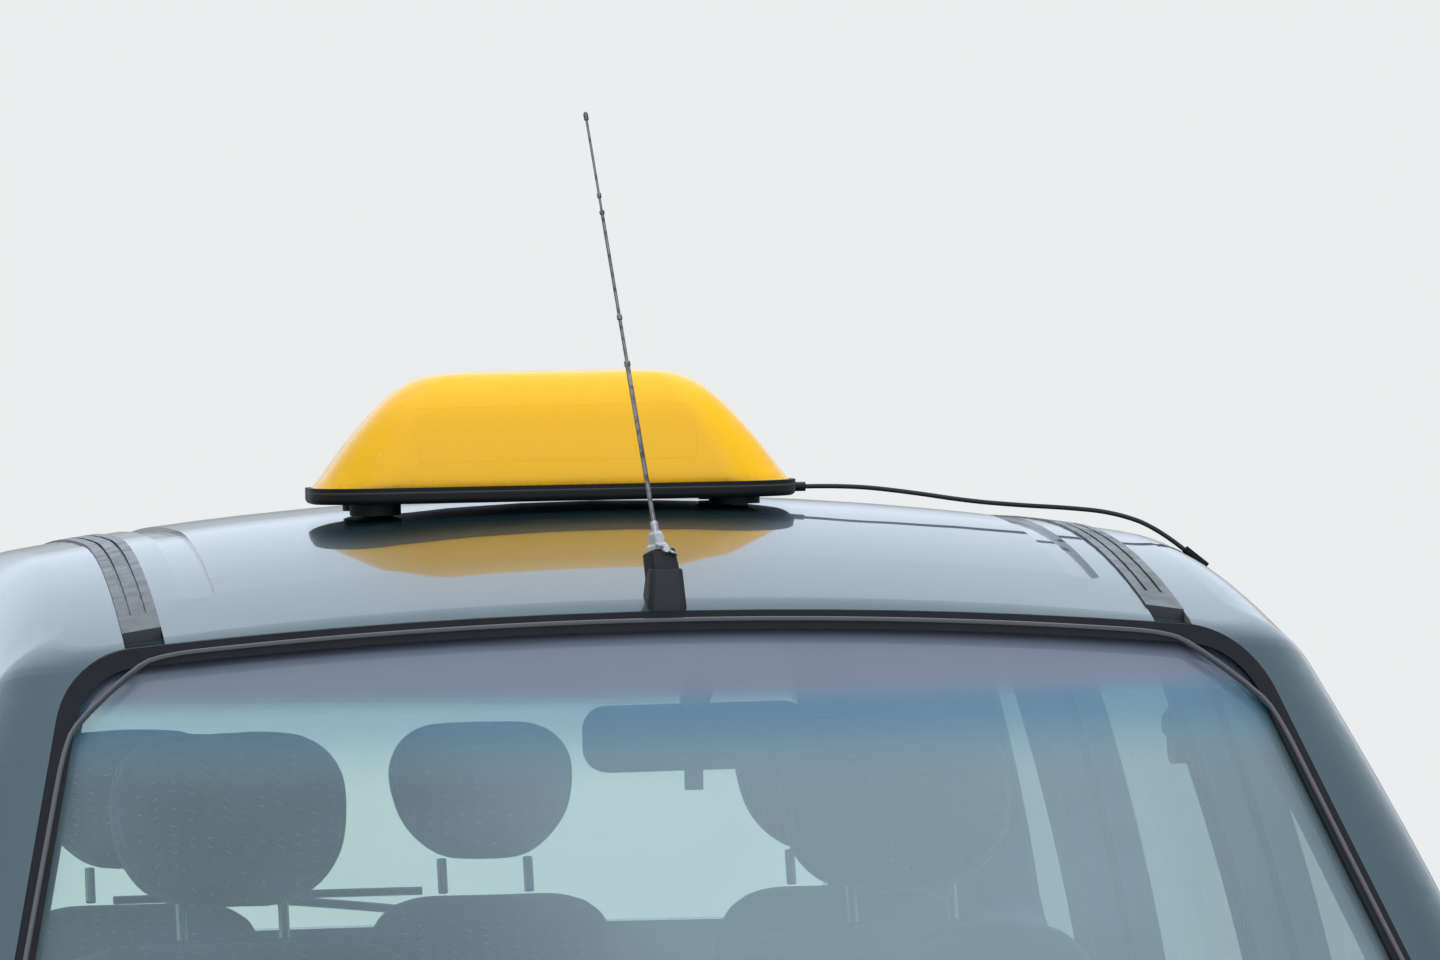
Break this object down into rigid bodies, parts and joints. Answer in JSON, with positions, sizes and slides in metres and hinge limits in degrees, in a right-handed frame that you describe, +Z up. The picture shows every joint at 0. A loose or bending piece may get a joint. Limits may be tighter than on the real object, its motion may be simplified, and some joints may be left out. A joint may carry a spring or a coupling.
{
  "type": "taxi cab",
  "caption": "Tall compact five-door taxi with a hollow cab, hinged doors, bonnet and tailgate, steered front wheels, roof strips, aerial and a blank lit roof sign on magnets.",
  "frame": {"origin": "on the ground, midway between the bumpers and on the centre line", "axes": "+Z up, nose along -Y, the car's own left side along +X"},
  "size_m": [2.0144, 4.1682, 2.038],
  "materials": {
    "body_paint": "dark teal metallic paint under clear coat",
    "glass": "pale green tinted glass",
    "rubber": "black rubber, slightly dusty",
    "black_plastic": "fine-grained black plastic",
    "grey_underbody": "dull grey painted steel",
    "seat_steel": "plain steel",
    "lamp_lens": "clear moulded lens",
    "lamp_reflector": "bright reflector bowls",
    "tail_lamp": "red translucent lens",
    "engine_metal": "cast aluminium",
    "exhaust_steel": "heat-stained steel",
    "cabin_plastic": "grained dark grey plastic",
    "seat_fabric": "dark woven upholstery with pale dashes",
    "sign_yellow": "glossy translucent yellow plastic",
    "cable_black": "black cable sheath",
    "wheel_silver": "silver lacquered wheel",
    "tyre": "black tyre rubber"
  },
  "bodies": {
    "root": {"body_side_left": "body_paint", "body_side_right": "body_paint", "roof_panel": "body_paint", "roof_strips": "rubber", "windscreen": "glass", "windscreen_seal": "rubber", "front_wipers": "black_plastic", "cowl": "black_plastic", "bulkhead": "grey_underbody", "floor_pan": "grey_underbody", "front_structure": "grey_underbody", "front_wings": "body_paint", "front_bumper": "body_paint", "rear_bumper": "body_paint", "grille": "black_plastic", "headlamp_lenses": "lamp_lens", "headlamp_bowls": "lamp_reflector", "tail_lamps": "tail_lamp", "quarter_glass": "glass", "arch_liners": "black_plastic", "engine": "engine_metal", "lower_arms": "grey_underbody", "rear_axle": "grey_underbody", "exhaust": "exhaust_steel", "dashboard": "cabin_plastic", "interior_mirror": "black_plastic", "seat_cushions": "seat_fabric", "seat_backs": "seat_fabric", "headrests": "seat_fabric", "seat_frames": "seat_steel", "sign_lens": "sign_yellow", "sign_base": "black_plastic", "sign_cable": "cable_black", "cable_grommet": "rubber", "antenna": "black_plastic"},
    "bonnet": {"bonnet": "body_paint"},
    "tailgate": {"tailgate": "body_paint", "tailgate_glass": "glass"},
    "door_front_left": {"door_front_left": "body_paint", "glass_front_left": "glass"},
    "door_front_right": {"door_front_right": "body_paint", "glass_front_right": "glass"},
    "door_rear_left": {"door_rear_left": "body_paint", "glass_rear_left": "glass"},
    "door_rear_right": {"door_rear_right": "body_paint", "glass_rear_right": "glass"},
    "steering_wheel": {"steering_wheel": "black_plastic"},
    "knuckle_left": {"knuckle_left": "grey_underbody"},
    "knuckle_right": {"knuckle_right": "grey_underbody"},
    "wheel_front_left": {"wheel_front_left": "wheel_silver", "tyre_front_left": "tyre"},
    "wheel_front_right": {"wheel_front_right": "wheel_silver", "tyre_front_right": "tyre"},
    "wheel_rear_left": {"wheel_rear_left": "wheel_silver", "tyre_rear_left": "tyre"},
    "wheel_rear_right": {"wheel_rear_right": "wheel_silver", "tyre_rear_right": "tyre"}
  },
  "joints": [
    {"name": "bonnet_hinge", "type": "hinge", "parent": "root", "child": "bonnet", "pos_m": [0, -1.292, 0.95], "axis": [-1, 0, 0], "range_deg": [0, 50]},
    {"name": "tailgate_hinge", "type": "hinge", "parent": "root", "child": "tailgate", "pos_m": [0, 1.798, 1.52], "axis": [1, 0, 0], "range_deg": [0, 85]},
    {"name": "door_front_left_hinge", "type": "hinge", "parent": "root", "child": "door_front_left", "pos_m": [0.85, -0.838, 0.7], "axis": [0, 0, -1], "range_deg": [0, 65]},
    {"name": "door_rear_left_hinge", "type": "hinge", "parent": "root", "child": "door_rear_left", "pos_m": [0.85, 0.163, 0.7], "axis": [0, 0, -1], "range_deg": [0, 65]},
    {"name": "door_front_right_hinge", "type": "hinge", "parent": "root", "child": "door_front_right", "pos_m": [-0.85, -0.838, 0.7], "axis": [0, 0, 1], "range_deg": [0, 65]},
    {"name": "door_rear_right_hinge", "type": "hinge", "parent": "root", "child": "door_rear_right", "pos_m": [-0.85, 0.163, 0.7], "axis": [0, 0, 1], "range_deg": [0, 65]},
    {"name": "steer_left", "type": "hinge", "parent": "root", "child": "knuckle_left", "pos_m": [0.686, -1.285, 0.19], "axis": [-0.23, 0, 0.9732], "range_deg": [-35, 35]},
    {"name": "steer_right", "type": "hinge", "parent": "root", "child": "knuckle_right", "pos_m": [-0.686, -1.285, 0.19], "axis": [0.23, 0, 0.9732], "range_deg": [-35, 35]},
    {"name": "steering_wheel_turn", "type": "hinge", "parent": "root", "child": "steering_wheel", "pos_m": [0.37, -0.505, 0.905], "axis": [0, 0.8829, 0.4695], "range_deg": [-560, 560]},
    {"name": "spin_front_left", "type": "hinge", "parent": "knuckle_left", "child": "wheel_front_left", "pos_m": [0.73, -1.285, 0.31], "axis": [1, 0, 0], "continuous": true},
    {"name": "spin_front_right", "type": "hinge", "parent": "knuckle_right", "child": "wheel_front_right", "pos_m": [-0.73, -1.285, 0.31], "axis": [1, 0, 0], "continuous": true},
    {"name": "spin_rear_left", "type": "hinge", "parent": "root", "child": "wheel_rear_left", "pos_m": [0.73, 1.295, 0.31], "axis": [1, 0, 0], "continuous": true},
    {"name": "spin_rear_right", "type": "hinge", "parent": "root", "child": "wheel_rear_right", "pos_m": [-0.73, 1.295, 0.31], "axis": [1, 0, 0], "continuous": true}
  ],
  "couplings": [
    {"joint": "steer_right", "follows": "steer_left", "ratio": 1},
    {"joint": "steering_wheel_turn", "follows": "steer_left", "ratio": 16}
  ]
}
